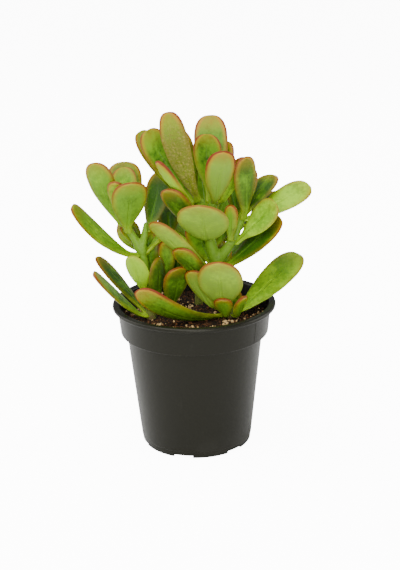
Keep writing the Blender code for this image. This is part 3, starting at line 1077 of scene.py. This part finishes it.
def leaf_material(leaf):
    """Waxy jade leaf: mottled green, paler foot and midrib, greyish underside, red-brown margin."""
    material, paint = new_material("jade_leaf_skin")
    place = object_place(paint)
    along, mid, rim, upper, age, blush, scar, tint, waxy = (
        attribute(paint, label) for label in LEAF_LAYERS)

    clouds = surface_noise(paint, place, 75.0, 3.0)
    mottle = surface_noise(paint, place, 380.0, 4.0, 0.6)
    pits = paint.node("ShaderNodeTexVoronoi", inputs={"Vector": place, "Scale": 1100.0}, output=0)

    # Flesh: from young to old green, with painted shade from each leaf's age value darkening the
    # leaves that sit in shade, lighter at its foot
    grown = age + (clouds - 0.5) * 1.1 + (mottle - 0.5) * 0.8 + (tint - 0.5) * 0.25
    young_half = (grown * 2.0).step(0.0, 1.0).mix(tuple(leaf.young), tuple(leaf.mature))
    flesh = (grown * 2.0 - 1.0).step(0.0, 1.0).mix(young_half, tuple(leaf.deep))
    foot = along.fade(0.0, 0.28) * 0.55
    flesh = foot.mix(flesh, tuple(leaf.young))
    # Underside bloom and pale speckle
    under = (1.0 - upper) * (0.08 + waxy * 0.38) * (0.4 + mottle * 1.1)
    flesh = under.mix(flesh, tuple(leaf.bloom))
    speckle = pits.fade(0.12, 0.36) * mottle.step(0.42, 0.62) * 0.16
    flesh = speckle.mix(flesh, tuple(leaf.speckle))
    rib = (mid * mid).fade(0.0, 1.1) * along.fade(0.3, 0.85) * 0.22
    flesh = rib.mix(flesh, tuple(channel * 1.3 for channel in leaf.mature))
    # Margin
    width = leaf.margin_width / MM
    tipward = 0.12 + 0.88 * along.step(0.40, 0.98)
    ragged = rim + (mottle - 0.5) * 0.9
    edge = ragged.fade(width * 0.25, width) * tipward * blush
    outer = 0.25 + along.step(0.3, 0.95) * 0.75
    halo = ragged.fade(width * 0.6, width * 2.3) * outer * blush * 0.6
    ripe_tip = along.step(0.72, 1.02) * blush * (0.2 + mottle * 0.5)
    flesh = (halo + ripe_tip).mix(flesh, tuple(leaf.halo))
    flesh = edge.mix(flesh, tuple(leaf.margin))
    # Corky patch
    reach = (along + (clouds - 0.5) * 0.3).fade(0.65, 0.95)
    patch = scar * (1.0 - upper) * along.step(0.04, 0.10) * reach
    grit = surface_noise(paint, place, 700.0, 6.0, 0.75)
    flecks = grit.step(0.46, 0.62) * patch
    flesh = (patch * 0.75).mix(flesh, tuple(leaf.patch))
    flesh = (flecks * 0.6).mix(flesh, tuple(leaf.cork))

    crease = (mid * mid).fade(0.0, 1.6) * along.fade(0.45, 0.9)
    height = clouds * 0.5 + mottle * 0.22 - pits.fade(0.0, 0.3) * 0.06 - crease * 0.5 + flecks * 0.4
    inputs = {
        "Base Color": flesh,
        "Roughness": 0.30 + mottle * 0.12 + (1.0 - upper) * 0.10 + flecks * 0.25,
        "Specular IOR Level": 0.10,
        "Subsurface Weight": 0.08,
        "Subsurface Radius": (0.9, 1.0, 0.10),
        "Subsurface Scale": 0.002,
        "Normal": bump(paint, height, 0.8 * MM),
    }
    return finish_principled(material, paint, inputs, tuple(leaf.mature))


class JADE_OT_leaves(bpy.types.Operator):
    """Grow every leaf on its node's rings."""

    bl_idname = "jade.leaves"
    bl_label = "Leaves"

    def execute(self, context):
        leaf = context.scene.jade_leaf
        skin = leaf_material(leaf)
        points = stem_points()
        limits = plant_box()
        luck = Random(leaf.seed)
        for name in [*LEAF_NODES, *SPROUTS]:
            shape = grow_leaf(name, leaf, points, luck, limits)
            stands_for = None if name in SPROUTS else name
            add_piece(name + "_blade", shape, skin, stands_for)
        return {"FINISHED"}


# Stage


def softbox(name, place, aim, size, power):
    """A square area light that looks at a point."""
    light = bpy.data.lights.new(name, "AREA")
    light.shape = "SQUARE"
    light.size = size
    light.energy = power
    lamp = bpy.data.objects.new(name, light)
    lamp.location = place
    lamp.rotation_euler = (Vector(aim) - Vector(place)).to_track_quat("-Z", "Y").to_euler()
    bpy.context.scene.collection.objects.link(lamp)


def floor_material(stage):
    """Pale paper that glows, so that the plant stands against white."""
    material, paint = new_material("pale_floor")
    place = object_place(paint)
    clouds = surface_noise(paint, place, 3.0, 2.0)
    tone = tuple(stage.floor)
    base = clouds.mix(tone, tuple(channel * 0.97 for channel in tone))
    paper = paint.node("ShaderNodeBsdfDiffuse", inputs={"Color": base})
    seen = paint.node("ShaderNodeLightPath")
    glow = paint.node("ShaderNodeEmission", inputs={"Strength": seen * stage.backdrop})
    surface = paint.node("ShaderNodeAddShader", inputs={0: paper, 1: glow})
    return finish_material(material, paint, surface, tone)


def studio_world(stage):
    """Soft white surroundings."""
    world = bpy.data.worlds.new("studio")
    world.use_nodes = True
    world.node_tree.nodes.clear()
    paint = Paint(world.node_tree)
    seen = paint.node("ShaderNodeLightPath")
    strength = seen * (stage.backdrop - stage.sky) + stage.sky
    white = (1.0, 1.0, 1.0, 1.0)
    sky = paint.node("ShaderNodeBackground", inputs={"Color": white, "Strength": strength})
    paint.node("ShaderNodeOutputWorld", inputs={"Surface": sky})
    return world


class JADE_OT_stage(bpy.types.Operator):
    """Set the camera, a pale floor and soft studio light."""

    bl_idname = "jade.stage"
    bl_label = "Stage"

    def execute(self, context):
        stage = context.scene.jade_stage
        lens = bpy.data.cameras.new("camera")
        lens.lens = stage.lens
        camera = bpy.data.objects.new("camera", lens)
        look = Vector(stage.aim) - Vector(stage.eye)
        facing = look.to_track_quat("-Z", "Y").to_matrix().to_4x4()
        roll = Matrix.Rotation(stage.roll, 4, "Z")
        camera.matrix_world = Matrix.Translation(stage.eye) @ facing @ roll
        context.scene.collection.objects.link(camera)
        context.scene.camera = camera

        plane = bmesh.new()
        bmesh.ops.create_grid(plane, x_segments=8, y_segments=8, size=6.0)
        mesh = bpy.data.meshes.new("floor")
        plane.to_mesh(mesh)
        plane.free()
        mesh.materials.append(floor_material(stage))
        floor = bpy.data.objects.new("floor", mesh)
        floor.location.z = POT_LOW.z - 0.02 * MM
        context.scene.collection.objects.link(floor)

        context.scene.world = studio_world(stage)
        middle = (0.0, 0.0, 0.13)
        softbox("key_softbox", (-0.45, -0.70, 1.30), middle, 1.5, stage.key)
        softbox("front_softbox", (0.15, -1.35, 0.42), middle, 0.8, stage.front)
        softbox("top_softbox", (-0.2, 0.45, 1.3), middle, 0.9, stage.top)
        softbox("left_softbox", (-1.3, 0.25, 0.55), middle, 1.0, stage.sides)
        softbox("right_softbox", (1.3, 0.25, 0.55), middle, 1.0, stage.sides)
        return {"FINISHED"}


# Panel and registration


class JADE_PT_panel(bpy.types.Panel):
    """The plant's pieces and their settings."""

    bl_label = "Jade Plant"
    bl_idname = "JADE_PT_panel"
    bl_space_type = "VIEW_3D"
    bl_region_type = "UI"
    bl_category = "Jade Plant"

    def draw(self, context):
        column = self.layout.column()
        for operator in OPERATORS:
            column.operator(operator.bl_idname)
        for name in SETTINGS:
            settings = getattr(context.scene, name)
            column.separator()
            for field in settings.__annotations__:
                column.prop(settings, field)


SETTINGS = {
    "jade_pot": JadePotSettings,
    "jade_mix": JadeMixSettings,
    "jade_stem": JadeStemSettings,
    "jade_leaf": JadeLeafSettings,
    "jade_stage": JadeStageSettings,
}
OPERATORS = [
    JADE_OT_stage, JADE_OT_pot, JADE_OT_mix, JADE_OT_grains, JADE_OT_stems, JADE_OT_leaves]


def register():
    for group in SETTINGS.values():
        bpy.utils.register_class(group)
    for operator in OPERATORS:
        bpy.utils.register_class(operator)
    bpy.utils.register_class(JADE_PT_panel)
    for name, group in SETTINGS.items():
        setattr(bpy.types.Scene, name, PointerProperty(type=group))


def unregister():
    for name in SETTINGS:
        delattr(bpy.types.Scene, name)
    bpy.utils.unregister_class(JADE_PT_panel)
    for operator in reversed(OPERATORS):
        bpy.utils.unregister_class(operator)
    for group in reversed(list(SETTINGS.values())):
        bpy.utils.unregister_class(group)


def main():
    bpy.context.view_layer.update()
    register()
    bpy.ops.jade.stage()
    bpy.ops.jade.pot()
    bpy.ops.jade.mix()
    bpy.ops.jade.grains()
    bpy.ops.jade.stems()
    bpy.ops.jade.leaves()


if __name__ == "__main__":
    main()
